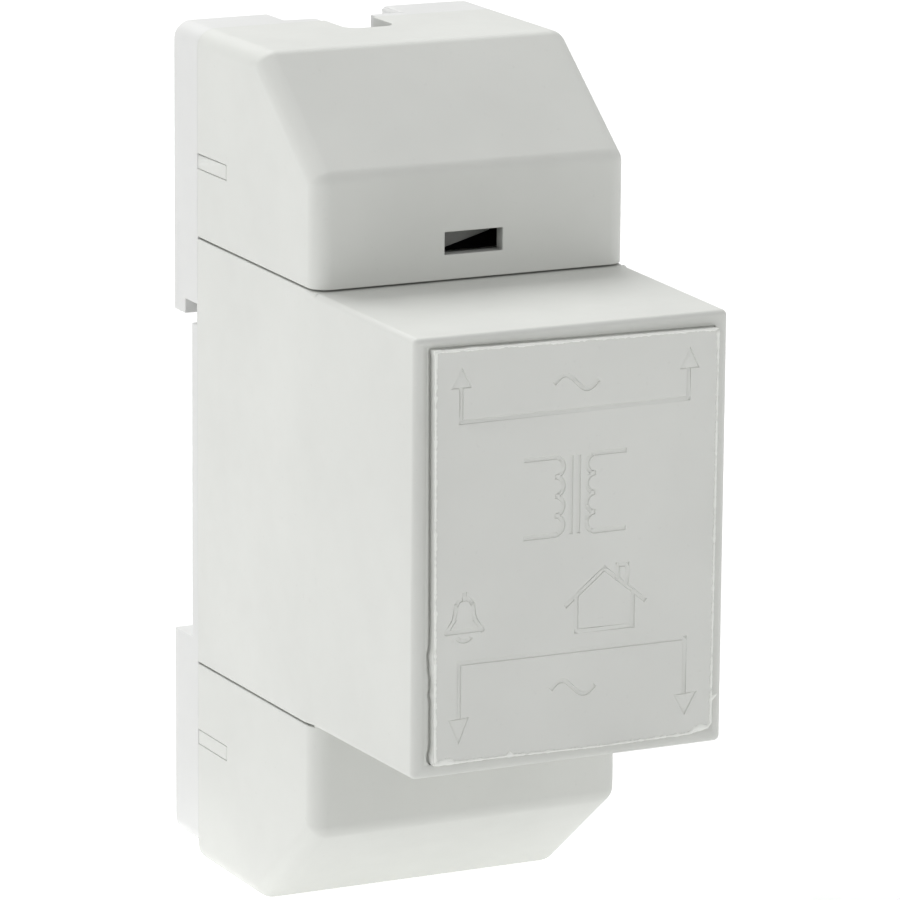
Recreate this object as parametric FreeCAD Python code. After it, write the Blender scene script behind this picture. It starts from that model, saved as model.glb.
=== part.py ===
import FreeCAD, Part
import math
import os

V = FreeCAD.Vector

# A two-module doorbell transformer for a 35 mm rail. Sizes are in mm.
# Shapes are drawn about the middle of the housing: X across, Z up, and depth d running forward
# (towards -Y) from the seam between base and housing. At the end everything is moved so that the
# origin lies in the rail seat, on the rail's centre line.

# Housing
BODY_WIDTH = 35.6
NOSE_HEIGHT = 45.0
NOSE_DEPTH = 22.6
NOSE_DRAFT = 0.3
NOSE_SIDE_DRAFT = 0.3
SHOULDER_DRAFT = 0.3
HOUSING_WALL = 2.0
NOSE_EDGE = 0.6
CORE_RIB_WIDTH = 1.2
CORE_RIB_DROP = 3.0
SEAT_RIB_DEPTH = 2.6
BOSS_RADIUS = 3.0
BOSS_LENGTH = 5.0
BOSS_SINK = 0.5

# Terminal covers
COVER_DEPTH = 29.5
COVER_FRONT_HEIGHT = 11.6
COVER_SLOPE_RISE = 10.8
COVER_TOP_DEPTH = 15.4
COVER_WALL = 1.5
COVER_EDGE = 2.0
SEAM = 0.2
PRY_SLOT_WIDTH = 6.6
PRY_SLOT_HEIGHT = 2.35
PRY_SLOT_RISE = 2.6
PRY_SLOT_OFFSET = 0.1
BAFFLE_WIDTH = 7.6
BAFFLE_THICKNESS = 1.2
BAFFLE_GAP = 2.5
BAFFLE_LOW_LEFT = 2.05
BAFFLE_LOW_RIGHT = 4.15
CABLE_CUT_WIDTH = 5.6
CABLE_CUT_DEPTH = 5.6
CABLE_CUT_OFFSET = -0.2
CABLE_CUT_CORNER = 1.6

# Catches: lugs on ears of the housing that fill slots in the covers' side walls
CATCH_LENGTH = 7.2
CATCH_HEIGHT = 1.6
CATCH_RISE = 7.8
CATCH_GAP = 0.15
EAR_THICKNESS = 1.6
EAR_DEPTH = 9.0
EAR_TOP = 2.2
EAR_GAP = 0.2

# Rating plate, let into the nose front
PLATE_WIDTH = 31.8
PLATE_HEIGHT = 42.1
PLATE_TRIM = 0.45
PLATE_PROUD = 1.0
PLATE_RECESS = 0.8
PLATE_GAP = 0.25
PLATE_EDGE = 0.2
PLATE_SHIFT_X = 0.0
PLATE_SHIFT_Z = 0.2

# Rear base and the rail that it takes
RAIL_HEIGHT = 35.0
RAIL_DROP = 1.6
RAIL_GAP = 0.1
BASE_DEPTH = 6.5
BASE_FLANGE = 1.6
BASE_SHORT = 1.5
BASE_CORNER = 2.0
BASE_EDGE = 0.4
HOOK_LIP = 3.2
HOOK_OVERLAP = 1.6
HOOK_RELIEF = 0.65
HOOK_RELIEF_DEPTH = 1.3
BLOCK_GAP = 1.6
PLUG_DEPTH = 1.6
PLUG_GAP = 0.2
POST_SIZE = 4.0
POST_X = 5.0
POST_Z = 12.0
NOTCH_MARGIN = 0.4
NOTCH_DEPTH = 3.0
NOTCH_REAR_WIDTH = 13.3
NOTCH_EDGE = 0.5
RIB_SLOT_WIDTH = 2.6
RIB_WIDTH = 1.8
RIB_SLOT_DEPTH = 3.4
RIB_SLOT_MARGIN = 4.0

# Rail latch and its spring
LATCH_WIDTH = 12.0
LATCH_THICKNESS = 2.0
LATCH_GAP = 0.3
LATCH_OVERLAP = 1.3
LATCH_TRAVEL = 3.0
LATCH_REST = 1.3
LATCH_SNAP = 1.2
LATCH_NOTCH_WIDTH = 4.4
LATCH_NOTCH_DEPTH = 1.5
LATCH_TAIL = 0.8
SPRING_RADIUS = 1.45
SPRING_WIRE = 0.25
SPRING_FACETS = 8
SPRING_LENGTH = 11.0
SPRING_TURNS = 5
SPRING_GAP = 0.3
SPRING_ROOF = 4.0
STOP_HEIGHT = 1.5
REAR_WINDOW_MARGIN = 2.0

# Screws that hold the base to the housing
BASE_SCREW_SPREAD = 17.0
BASE_SCREW_RADIUS = 1.45
BASE_SCREW_LENGTH = 5.0
BASE_HEAD_RADIUS = 2.3
BASE_HEAD_HEIGHT = 1.6
BASE_HEAD_SINK = 0.3
SCREW_GAP = 0.1
DRIVE_WIDTH = 0.9
DRIVE_DEPTH = 0.9

# Terminals
PAD_RISE = 0.3
CARRIER_GAP = 0.3
CARRIER_DEPTH = 17.5
CARRIER_HEIGHT = 12.4
TERMINAL_PITCH = 14.0
CAGE_WIDTH = 7.0
CAGE_DEPTH = 7.5
CAGE_HEIGHT = 6.0
CAGE_WALL = 1.0
CAGE_FRONT = 4.5
CAGE_LIFT = 4.4
CAGE_GAP = 0.1
TERMINAL_SCREW_RADIUS = 1.75
TERMINAL_SCREW_LENGTH = 6.0
TERMINAL_HEAD_RADIUS = 2.9
TERMINAL_HEAD_HEIGHT = 2.0
TERMINAL_SCREW_OPEN = 2.2
ACCESS_GAP = 0.3
TAG_WIDTH = 4.0
TAG_SHOULDER = 0.4
TAG_THICKNESS = 0.8
TAG_TOP = 0.6
TAG_TAIL = 4.0
TAG_GAP = 0.1

# Transformer
CORE_WINDOW = 7.0
CORE_YOKE = 6.5
CORE_LEG_LENGTH = 21.0
CORE_CLEARANCE = 0.5
CORE_GAP = 0.2
BOBBIN_WALL = 1.0
BOBBIN_FLANGE = 1.0
COIL_CLEARANCE = 0.55
BOBBIN_GAP = 0.15
BOBBIN_CORNER = 1.0
PRIMARY_SHARE = 0.62
WINDING_INSET = 1.1
WINDING_GAP = 0.05
WINDING_CORNER = 2.0
TAPE_THICKNESS = 0.3
CUTOUT_WIDTH = 4.6
CUTOUT_DEPTH = 4.0
CUTOUT_HEIGHT = 10.0
LEAD_RADIUS = 0.7
LEAD_SIDE = 3.5
LEAD_Z = 10.0
LEAD_CLEARANCE = 2.5
LEAD_STUB = 2.2

# Places that follow from the sizes
HALF_WIDTH = BODY_WIDTH / 2
NOSE_HALF = HALF_WIDTH - NOSE_SIDE_DRAFT
HOUSING_DEPTH = COVER_DEPTH + NOSE_DEPTH
NOSE_Z = NOSE_HEIGHT / 2
SHOULDER_Z = NOSE_Z + NOSE_DRAFT
REAR_Z = SHOULDER_Z + SHOULDER_DRAFT
COVER_KNEE_Z = SHOULDER_Z + SEAM + COVER_FRONT_HEIGHT
COVER_TOP_Z = COVER_KNEE_Z + COVER_SLOPE_RISE
RAIL_TOP_Z = RAIL_HEIGHT / 2 - RAIL_DROP
RAIL_LOW_Z = RAIL_TOP_Z - RAIL_HEIGHT
BASE_TOP_Z = COVER_TOP_Z
BASE_LOW_Z = -COVER_TOP_Z + BASE_SHORT
BLOCK_TOP_Z = RAIL_LOW_Z - BLOCK_GAP
LATCH_D = -BASE_FLANGE - LATCH_REST
PAD_Z = REAR_Z + PAD_RISE
CARRIER_HALF = HALF_WIDTH - COVER_WALL - EAR_GAP - EAR_THICKNESS - CARRIER_GAP
CATCH_Z = SHOULDER_Z + CATCH_RISE
BASE_SCREW_X = HALF_WIDTH - HOUSING_WALL - BOSS_RADIUS + BOSS_SINK
CORE_HALF_Z = NOSE_Z - HOUSING_WALL - CORE_CLEARANCE
CORE_LEG = CORE_HALF_Z - CORE_WINDOW
BOBBIN_REACH = CORE_WINDOW - BOBBIN_GAP - COIL_CLEARANCE
CORE_STACK = 2 * (HALF_WIDTH - HOUSING_WALL - COIL_CLEARANCE - BOBBIN_REACH - BOBBIN_GAP)
LEAD_X = CORE_STACK / 2 + LEAD_SIDE
CORE_FRONT_D = HOUSING_DEPTH - HOUSING_WALL - SEAT_RIB_DEPTH
YOKE_D = CORE_FRONT_D - CORE_YOKE
LEG_END_D = YOKE_D - CORE_LEG_LENGTH
CORE_REAR_D = LEG_END_D - CORE_YOKE
LEAD_D = CORE_REAR_D - LEAD_CLEARANCE
BOBBIN_REAR_D = LEG_END_D + CORE_GAP
BOBBIN_FRONT_D = YOKE_D - CORE_GAP
CAGE_FLOOR_Z = PAD_Z + CAGE_LIFT
TERMINAL_Z = CAGE_FLOOR_Z + CAGE_HEIGHT / 2
TAG_D = CAGE_FRONT + CAGE_WALL
TERMINAL_XS = (-TERMINAL_PITCH / 2, TERMINAL_PITCH / 2)
THROUGH = 1.0
SAME = 1e-4


def block(x0, x1, d0, d1, z0, z1):
    """Box between two widths, two forward depths and two heights."""
    return Part.makeBox(x1 - x0, d1 - d0, z1 - z0, V(x0, -d1, z0))


def rod(x, z, radius, d0, d1):
    """Round bar along the depth, from d0 forward to d1."""
    return Part.makeCylinder(radius, d1 - d0, V(x, -d0, z), V(0, -1, 0))


def side_prism(points, half_width):
    """Profile of (depth, height) points, extruded across the width."""
    corners = [V(-half_width, -d, z) for d, z in points]
    face = Part.Face(Part.makePolygon(corners + corners[:1]))
    return face.extrude(V(2 * half_width, 0, 0))


def front_prism(points, d0, d1):
    """Profile of (x, z) points, extruded forward from d0 to d1."""
    corners = [V(x, -d0, z) for x, z in points]
    face = Part.Face(Part.makePolygon(corners + corners[:1]))
    return face.extrude(V(0, d0 - d1, 0))


def plan_prism(points, z0, z1):
    """Profile of (x, depth) points, extruded upward from z0 to z1."""
    corners = [V(x, -d, z0) for x, d in points]
    face = Part.Face(Part.makePolygon(corners + corners[:1]))
    return face.extrude(V(0, 0, z1 - z0))


def inset(points, steps):
    """Moves each edge of a convex outline inward by its own step; an open side takes a negative one."""
    count = len(points)
    area = sum(points[i - 1][0] * points[i][1] - points[i][0] * points[i - 1][1] for i in range(count))
    turn = 1 if area > 0 else -1
    lines = []
    for i in range(count):
        (a, b), (c, e) = points[i], points[(i + 1) % count]
        length = math.hypot(c - a, e - b)
        u, v = (c - a) / length, (e - b) / length
        lines.append((a - turn * v * steps[i], b + turn * u * steps[i], u, v))
    moved = []
    for i in range(count):
        a, b, u, v = lines[i - 1]
        c, e, s, t = lines[i]
        k = ((c - a) * t - (e - b) * s) / (u * t - v * s)
        moved.append((a + k * u, b + k * v))
    return moved


def turned(shape):
    """The same shape turned half round about the depth axis, so that top becomes bottom."""
    copy = shape.copy()
    copy.rotate(V(0, 0, 0), V(0, 1, 0), 180)
    return copy


def edges_where(shape, test):
    """Edges whose two ends both pass the test, given as (x, depth, height)."""
    found = []
    for edge in shape.Edges:
        ends = [(p.X, -p.Y, p.Z) for p in edge.Vertexes]
        if len(ends) == 2 and test(ends[0], ends[1]):
            found.append(edge)
    return found


def near(a, b):
    return abs(a - b) < SAME


# Main housing
def housing_outline():
    return [(0, -REAR_Z), (COVER_DEPTH, -SHOULDER_Z), (HOUSING_DEPTH, -NOSE_Z),
            (HOUSING_DEPTH, NOSE_Z), (COVER_DEPTH, SHOULDER_Z), (0, REAR_Z)]


def make_nose():
    """Nose that narrows on all four sides towards its front; its long and front edges are rounded."""
    profile = [point for point in housing_outline() if point[0] >= COVER_DEPTH]
    plan = [(-HALF_WIDTH, COVER_DEPTH), (-NOSE_HALF, HOUSING_DEPTH),
            (NOSE_HALF, HOUSING_DEPTH), (HALF_WIDTH, COVER_DEPTH)]
    nose = side_prism(profile, HALF_WIDTH).common(plan_prism(plan, -SHOULDER_Z, SHOULDER_Z))
    edges = edges_where(nose, lambda a, b: not (near(a[1], COVER_DEPTH) and near(b[1], COVER_DEPTH)))
    return nose.makeFillet(NOSE_EDGE, edges)


def base_screw_places():
    """Centres of the two base screws, at opposite corners of the rail seat."""
    rise = BASE_SCREW_SPREAD / 2
    return [(-BASE_SCREW_X, rise - RAIL_DROP), (BASE_SCREW_X, -rise - RAIL_DROP)]


def cover_ear(side):
    """Ear inside one upper side wall of a cover, with the lug that fills the wall's slot."""
    outer = HALF_WIDTH - COVER_WALL - EAR_GAP
    x0, x1 = sorted((side * outer, side * (outer - EAR_THICKNESS)))
    ear = block(x0, x1, SEAM, EAR_DEPTH, SHOULDER_Z - HOUSING_WALL / 2, CATCH_Z + CATCH_HEIGHT + EAR_TOP)
    x0, x1 = sorted((side * outer, side * HALF_WIDTH))
    lug = block(x0, x1, SEAM, SEAM + CATCH_LENGTH - CATCH_GAP,
                CATCH_Z + CATCH_GAP, CATCH_Z + CATCH_HEIGHT - CATCH_GAP)
    return ear.fuse(lug)


def housing_upper_fittings():
    """Pad for the terminal carrier, and the two ears that hold the cover."""
    pad = block(-CARRIER_HALF, CARRIER_HALF, 0, CARRIER_DEPTH, SHOULDER_Z - HOUSING_WALL / 2, PAD_Z)
    return [pad, cover_ear(-1), cover_ear(1)]


def tag_openings():
    """Slots that let the tags through the wall of the housing."""
    return [block(x - TAG_WIDTH / 2 - TAG_GAP, x + TAG_WIDTH / 2 + TAG_GAP, TAG_D - TAG_GAP,
                  TAG_D + TAG_THICKNESS + TAG_GAP, SHOULDER_Z - 2 * HOUSING_WALL, PAD_Z + THROUGH)
            for x in TERMINAL_XS]


def make_housing():
    outline = housing_outline()
    rear = [point for point in outline if point[0] < HOUSING_DEPTH]
    outer = side_prism(rear, HALF_WIDTH).fuse(make_nose())
    wall = HOUSING_WALL
    cavity = side_prism(inset(outline, [wall, wall, wall, wall, wall, -THROUGH]), HALF_WIDTH - wall)
    housing = outer.cut(cavity)

    added = housing_upper_fittings()
    added = added + [turned(shape) for shape in added]
    inner_d = HOUSING_DEPTH - HOUSING_WALL
    guide = CORE_STACK / 2 + CORE_GAP
    for side in (-1, 1):
        x0, x1 = sorted((side * guide, side * (guide + CORE_RIB_WIDTH)))
        rib = block(x0, x1, CORE_REAR_D, inner_d,
                    NOSE_Z - HOUSING_WALL - CORE_RIB_DROP, NOSE_Z - HOUSING_WALL / 2)
        seat = block(x0 - side * 2 * CORE_RIB_WIDTH, x1 - side * 2 * CORE_RIB_WIDTH,
                     CORE_FRONT_D, inner_d + HOUSING_WALL / 4, -CORE_HALF_Z, CORE_HALF_Z)
        added += [rib, turned(rib), seat]
    boss_reach = PLUG_DEPTH + BOSS_LENGTH
    for x, z in base_screw_places():
        boss = rod(x, z, BOSS_RADIUS, PLUG_DEPTH, boss_reach)
        added.append(boss.common(block(-HALF_WIDTH + HOUSING_WALL / 2, HALF_WIDTH - HOUSING_WALL / 2,
                                       0, boss_reach, -REAR_Z, REAR_Z)))
    housing = housing.fuse(added).removeSplitter()

    pilot = BASE_SCREW_RADIUS + SCREW_GAP
    cuts = [rod(x, z, pilot, 0, boss_reach - THROUGH) for x, z in base_screw_places()]
    openings = tag_openings()
    cuts += openings + [turned(shape) for shape in openings]
    pocket_d = HOUSING_DEPTH - PLATE_RECESS
    cuts.append(front_prism(plate_outline(PLATE_GAP), pocket_d, HOUSING_DEPTH + THROUGH))
    return housing.cut(cuts)


# Rating plate
def plate_outline(margin):
    """Plate outline grown by a margin; its top edge was trimmed a little lower on the right."""
    left = PLATE_SHIFT_X - PLATE_WIDTH / 2 - margin
    right = PLATE_SHIFT_X + PLATE_WIDTH / 2 + margin
    low = PLATE_SHIFT_Z - PLATE_HEIGHT / 2 - margin
    high = PLATE_SHIFT_Z + PLATE_HEIGHT / 2 + margin
    return [(left, low), (right, low), (right, high - PLATE_TRIM), (left, high)]


def make_rating_plate():
    front = HOUSING_DEPTH + PLATE_PROUD
    plate = front_prism(plate_outline(0), HOUSING_DEPTH - PLATE_RECESS, front)
    rim = edges_where(plate, lambda a, b: near(a[1], front) and near(b[1], front))
    return plate.makeFillet(PLATE_EDGE, rim)


# Terminal covers
def cover_outline():
    return [(SEAM, REAR_Z + SEAM), (COVER_DEPTH, SHOULDER_Z + SEAM), (COVER_DEPTH, COVER_KNEE_Z),
            (COVER_TOP_DEPTH, COVER_TOP_Z), (SEAM, COVER_TOP_Z)]


def cable_cut(width, depth, corner):
    """U-shaped cut for the cable, from the cover's rear edge forward."""
    x0 = CABLE_CUT_OFFSET - width / 2
    cut = block(x0, x0 + width, -THROUGH, depth, COVER_TOP_Z - 2 * COVER_WALL, COVER_TOP_Z + THROUGH)
    corners = edges_where(cut, lambda a, b: near(a[1], depth) and near(b[1], depth) and near(a[0], b[0]))
    return cut.makeFillet(corner, corners)


def pry_baffle():
    """Plate that hangs behind the pry slot; its lower edge slants up to the right."""
    x0 = PRY_SLOT_OFFSET - BAFFLE_WIDTH / 2
    x1 = PRY_SLOT_OFFSET + BAFFLE_WIDTH / 2
    front = COVER_DEPTH - COVER_WALL - BAFFLE_GAP
    profile = [(x0, SHOULDER_Z + BAFFLE_LOW_LEFT), (x1, SHOULDER_Z + BAFFLE_LOW_RIGHT),
               (x1, COVER_TOP_Z), (x0, COVER_TOP_Z)]
    return front_prism(profile, front - BAFFLE_THICKNESS, front)


def make_upper_cover():
    outline = cover_outline()
    outer = side_prism(outline, HALF_WIDTH)
    low_z = REAR_Z + SEAM

    def on_side_rim(a, b):
        on_side = near(a[0], b[0]) and near(abs(a[0]), HALF_WIDTH)
        on_rear = near(a[1], SEAM) and near(b[1], SEAM)
        on_seam = a[2] < low_z + SAME and b[2] < low_z + SAME
        return on_side and not on_rear and not on_seam

    def on_ridge(a, b):
        level = near(a[1], b[1]) and near(a[2], b[2])
        knee = near(a[1], COVER_DEPTH) and near(a[2], COVER_KNEE_Z)
        brow = near(a[1], COVER_TOP_DEPTH) and near(a[2], COVER_TOP_Z)
        return level and (knee or brow)

    rounded = edges_where(outer, lambda a, b: on_side_rim(a, b) or on_ridge(a, b))
    outer = outer.makeFillet(COVER_EDGE, rounded)
    wall = COVER_WALL
    cavity = side_prism(inset(outline, [-THROUGH, wall, wall, wall, -THROUGH]), HALF_WIDTH - wall)
    pry_z = SHOULDER_Z + SEAM + PRY_SLOT_RISE
    pry_x = PRY_SLOT_OFFSET - PRY_SLOT_WIDTH / 2
    cuts = [cavity,
            cable_cut(CABLE_CUT_WIDTH, CABLE_CUT_DEPTH + SEAM, CABLE_CUT_CORNER),
            block(pry_x, pry_x + PRY_SLOT_WIDTH, COVER_DEPTH - 2 * wall, COVER_DEPTH + THROUGH,
                  pry_z, pry_z + PRY_SLOT_HEIGHT),
            block(-HALF_WIDTH - THROUGH, HALF_WIDTH + THROUGH, 0, SEAM + CATCH_LENGTH,
                  CATCH_Z, CATCH_Z + CATCH_HEIGHT)]
    baffle = pry_baffle().common(outer)
    return outer.cut(cuts).fuse(baffle).removeSplitter()


# Rear base
def notch_cuts():
    """Cable notch in the base's upper edge: narrow through the flange, wide behind it."""
    half = CABLE_CUT_WIDTH / 2 + NOTCH_MARGIN
    left = CABLE_CUT_OFFSET - half
    right = CABLE_CUT_OFFSET + half
    low = BASE_TOP_Z - NOTCH_DEPTH
    top = BASE_TOP_Z + THROUGH
    narrow = block(left, right, -BASE_FLANGE - THROUGH, THROUGH, low, top)
    wide = block(-NOTCH_REAR_WIDTH / 2, NOTCH_REAR_WIDTH / 2, -BASE_DEPTH - THROUGH, -BASE_FLANGE, low, top)
    return narrow, wide


def rib_slots(z0, z1):
    """Upright slots that core out the back of a block, leaving ribs."""
    pitch = RIB_SLOT_WIDTH + RIB_WIDTH
    inner = LATCH_WIDTH / 2 + LATCH_GAP + RIB_WIDTH
    room = HALF_WIDTH - RIB_WIDTH - inner
    count = int((room + RIB_WIDTH) // pitch)
    slots = []
    for side in (-1, 1):
        for i in range(count):
            x0 = inner + i * pitch
            a, b = sorted((side * x0, side * (x0 + RIB_SLOT_WIDTH)))
            slots.append(block(a, b, -BASE_DEPTH - THROUGH, -BASE_DEPTH + RIB_SLOT_DEPTH, z0, z1))
    return slots


def latch_stop_z():
    """Underside and top of the fixed rib that the spring stands on."""
    top = spring_top_z() - SPRING_LENGTH
    return top - STOP_HEIGHT, top


def spring_top_z():
    return BLOCK_TOP_Z - SPRING_ROOF - LATCH_TRAVEL


def latch_channel():
    """Slot in the lower block that the latch slides in, open behind through a window."""
    half = LATCH_WIDTH / 2 + LATCH_GAP
    d1 = LATCH_D + LATCH_GAP
    d0 = LATCH_D - LATCH_THICKNESS - LATCH_GAP
    low = BASE_LOW_Z - THROUGH
    channel = block(-half, half, d0, d1, low, BLOCK_TOP_Z + THROUGH)
    window_half = half - REAR_WINDOW_MARGIN
    window = block(-window_half, window_half, -BASE_DEPTH - THROUGH, d0 + THROUGH / 2,
                   BASE_LOW_Z + REAR_WINDOW_MARGIN, BLOCK_TOP_Z - REAR_WINDOW_MARGIN)
    return channel.fuse(window)


def spring_groove():
    """Room for the spring in front of the latch's channel."""
    reach = SPRING_RADIUS + SPRING_WIRE + SPRING_GAP
    middle = LATCH_D - LATCH_THICKNESS / 2
    return block(-reach, reach, middle - reach, middle + reach,
                 latch_stop_z()[1], spring_top_z() + SPRING_GAP)


def make_rear_base():
    flange = block(-HALF_WIDTH, HALF_WIDTH, -BASE_FLANGE, 0, BASE_LOW_Z, BASE_TOP_Z)
    lip_z = RAIL_TOP_Z + RAIL_GAP - HOOK_OVERLAP
    upper = block(-HALF_WIDTH, HALF_WIDTH, -BASE_DEPTH, -BASE_FLANGE, lip_z, BASE_TOP_Z)
    lower = block(-HALF_WIDTH, HALF_WIDTH, -BASE_DEPTH, -BASE_FLANGE, BASE_LOW_Z, BLOCK_TOP_Z)
    base = flange.fuse([upper, lower]).removeSplitter()

    def upright_corner(a, b):
        level = near(a[2], b[2]) and (near(a[2], BASE_TOP_Z) or near(a[2], BASE_LOW_Z))
        return level and near(a[0], b[0])

    base = base.makeFillet(BASE_CORNER, edges_where(base, upright_corner))
    rear_rim = edges_where(base, lambda a, b: near(a[1], -BASE_DEPTH) and near(b[1], -BASE_DEPTH))
    base = base.makeChamfer(BASE_EDGE, rear_rim)

    plug_half = HALF_WIDTH - HOUSING_WALL - PLUG_GAP
    plug_z = SHOULDER_Z - HOUSING_WALL - PLUG_GAP
    plug = block(-plug_half, plug_half, 0, PLUG_DEPTH, -plug_z, plug_z)
    half = POST_SIZE / 2
    posts = [block(x - half, x + half, 0, CORE_REAR_D, z - half, z + half)
             for x in (-POST_X, POST_X) for z in (-POST_Z, POST_Z)]
    base = base.fuse([plug] + posts).removeSplitter()

    relief_d = -BASE_FLANGE + HOOK_RELIEF_DEPTH
    lip_d = -BASE_DEPTH + HOOK_LIP
    hook = block(-HALF_WIDTH - THROUGH, HALF_WIDTH + THROUGH, lip_d, relief_d,
                 lip_z - HOOK_RELIEF, RAIL_TOP_Z + RAIL_GAP)
    latch_half = LATCH_WIDTH / 2 + LATCH_GAP
    tongue_relief = block(-latch_half, latch_half,
                          LATCH_D - LATCH_THICKNESS, LATCH_D + LATCH_REST + LATCH_GAP,
                          BLOCK_TOP_Z - THROUGH, RAIL_LOW_Z + LATCH_OVERLAP + LATCH_GAP)
    cuts = [hook, *notch_cuts(), latch_channel(), spring_groove(), tongue_relief]
    cuts += rib_slots(RAIL_TOP_Z + RIB_SLOT_MARGIN, BASE_TOP_Z - NOTCH_DEPTH - RIB_WIDTH)
    cuts += rib_slots(BASE_LOW_Z + RIB_SLOT_MARGIN, BLOCK_TOP_Z - RIB_SLOT_MARGIN)
    for x, z in base_screw_places():
        cuts.append(rod(x, z, BASE_HEAD_RADIUS + 2 * SCREW_GAP, -BASE_FLANGE - THROUGH,
                        -BASE_FLANGE + BASE_HEAD_SINK + BASE_HEAD_HEIGHT))
        cuts.append(rod(x, z, BASE_SCREW_RADIUS + SCREW_GAP, -BASE_FLANGE, PLUG_DEPTH + THROUGH))
    base = base.cut(cuts)

    def notch_corner(a, b):
        on_side = near(abs(a[0]), NOTCH_REAR_WIDTH / 2) and near(a[0], b[0])
        return on_side and near(a[2], BASE_TOP_Z) and near(b[2], BASE_TOP_Z)

    base = base.makeFillet(NOTCH_EDGE, edges_where(base, notch_corner))
    stop_low, stop_top = latch_stop_z()
    reach = SPRING_RADIUS + SPRING_WIRE
    stop = block(-reach, reach, LATCH_D - LATCH_THICKNESS, LATCH_D + 2 * LATCH_GAP, stop_low, stop_top)
    return base.fuse(stop).removeSplitter()


# Rail latch and its spring
def make_rail_latch():
    half = LATCH_WIDTH / 2
    rear = LATCH_D - LATCH_THICKNESS
    tip = RAIL_LOW_Z + LATCH_OVERLAP
    low = BASE_LOW_Z - LATCH_TAIL
    profile = [(LATCH_D, low), (LATCH_D, tip), (rear + LATCH_SNAP / 2, tip),
               (rear, tip - LATCH_SNAP), (rear, low)]
    latch = side_prism(profile, half)
    stop_low, stop_top = latch_stop_z()
    reach = SPRING_RADIUS + SPRING_WIRE + SPRING_GAP
    window = block(-reach, reach, rear - THROUGH, LATCH_D + THROUGH, stop_low, spring_top_z())
    notch = block(-LATCH_NOTCH_WIDTH / 2, LATCH_NOTCH_WIDTH / 2, rear - THROUGH, LATCH_D + THROUGH,
                  low - THROUGH, low + LATCH_NOTCH_DEPTH)
    return latch.cut([window, notch])


def make_latch_spring():
    """Coil of square wire between the stop below and the latch above."""
    rise = SPRING_LENGTH - 2 * SPRING_WIRE
    start_z = latch_stop_z()[1] + SPRING_WIRE
    middle_d = LATCH_D - LATCH_THICKNESS / 2
    steps = SPRING_TURNS * SPRING_FACETS
    sections = []
    for i in range(steps + 1):
        angle = 2 * math.pi * i / SPRING_FACETS
        z = start_z + rise * i / steps
        corners = []
        for out, up in ((-1, -1), (1, -1), (1, 1), (-1, 1)):
            radius = SPRING_RADIUS + out * SPRING_WIRE
            y = radius * math.sin(angle) - middle_d
            corners.append(V(radius * math.cos(angle), y, z + up * SPRING_WIRE))
        sections.append(Part.makePolygon(corners + corners[:1]))
    return Part.makeLoft(sections, True, True)


# Screws
def slotted_screw(x, z, head_d, way, shank_radius, shank_length, head_radius, head_height):
    """Screw along the depth, head underside at head_d; its shank runs forward if way is 1, back if -1."""
    face_d = head_d - way * head_height
    shank = rod(x, z, shank_radius, *sorted((head_d, head_d + way * shank_length)))
    head = rod(x, z, head_radius, *sorted((face_d, head_d)))
    drive = block(x - head_radius, x + head_radius, *sorted((face_d, face_d + way * DRIVE_DEPTH)),
                  z - DRIVE_WIDTH / 2, z + DRIVE_WIDTH / 2)
    return head.fuse(shank).removeSplitter().cut(drive)


def make_base_screws():
    head_d = -BASE_FLANGE + BASE_HEAD_SINK + BASE_HEAD_HEIGHT
    screws = [slotted_screw(x, z, head_d, 1, BASE_SCREW_RADIUS, BASE_SCREW_LENGTH,
                            BASE_HEAD_RADIUS, BASE_HEAD_HEIGHT) for x, z in base_screw_places()]
    return Part.makeCompound(screws)


# Terminals, drawn for the upper side
def make_carrier():
    top = PAD_Z + CARRIER_HEIGHT
    carrier = block(-CARRIER_HALF, CARRIER_HALF, 0, CARRIER_DEPTH, PAD_Z, top)
    cuts = []
    for x in TERMINAL_XS:
        half = CAGE_WIDTH / 2 + CAGE_GAP
        cuts.append(block(x - half, x + half, CAGE_FRONT - CAGE_GAP, CAGE_FRONT + CAGE_DEPTH + CAGE_GAP,
                          CAGE_FLOOR_Z, top + THROUGH))
        cuts.append(rod(x, TERMINAL_Z, TERMINAL_HEAD_RADIUS + ACCESS_GAP, CAGE_FRONT + CAGE_DEPTH / 2,
                        CARRIER_DEPTH + THROUGH))
        cuts.append(block(x - TAG_WIDTH / 2 - TAG_GAP, x + TAG_WIDTH / 2 + TAG_GAP, TAG_D - TAG_GAP,
                          TAG_D + TAG_THICKNESS + TAG_GAP, PAD_Z - THROUGH, top))
    return carrier.cut(cuts)


def make_clamps():
    """Square wire cages, with a hole in the front wall for the screw."""
    clamps = []
    half = CAGE_WIDTH / 2
    front_d = CAGE_FRONT + CAGE_DEPTH
    top = CAGE_FLOOR_Z + CAGE_HEIGHT
    for x in TERMINAL_XS:
        outer = block(x - half, x + half, CAGE_FRONT, front_d, CAGE_FLOOR_Z, top)
        hole = block(x - half + CAGE_WALL, x + half - CAGE_WALL, CAGE_FRONT + CAGE_WALL, front_d - CAGE_WALL,
                     CAGE_FLOOR_Z - THROUGH, top + THROUGH)
        thread = rod(x, TERMINAL_Z, TERMINAL_SCREW_RADIUS + SCREW_GAP,
                     front_d - 2 * CAGE_WALL, front_d + THROUGH)
        clamps.append(outer.cut([hole, thread]))
    return Part.makeCompound(clamps)


def make_clamp_screws():
    head_d = CAGE_FRONT + CAGE_DEPTH + TERMINAL_SCREW_OPEN
    screws = [slotted_screw(x, TERMINAL_Z, head_d, -1, TERMINAL_SCREW_RADIUS, TERMINAL_SCREW_LENGTH,
                            TERMINAL_HEAD_RADIUS, TERMINAL_HEAD_HEIGHT) for x in TERMINAL_XS]
    return Part.makeCompound(screws)


def tag_low_z():
    return SHOULDER_Z - HOUSING_WALL - TAG_TAIL


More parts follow.
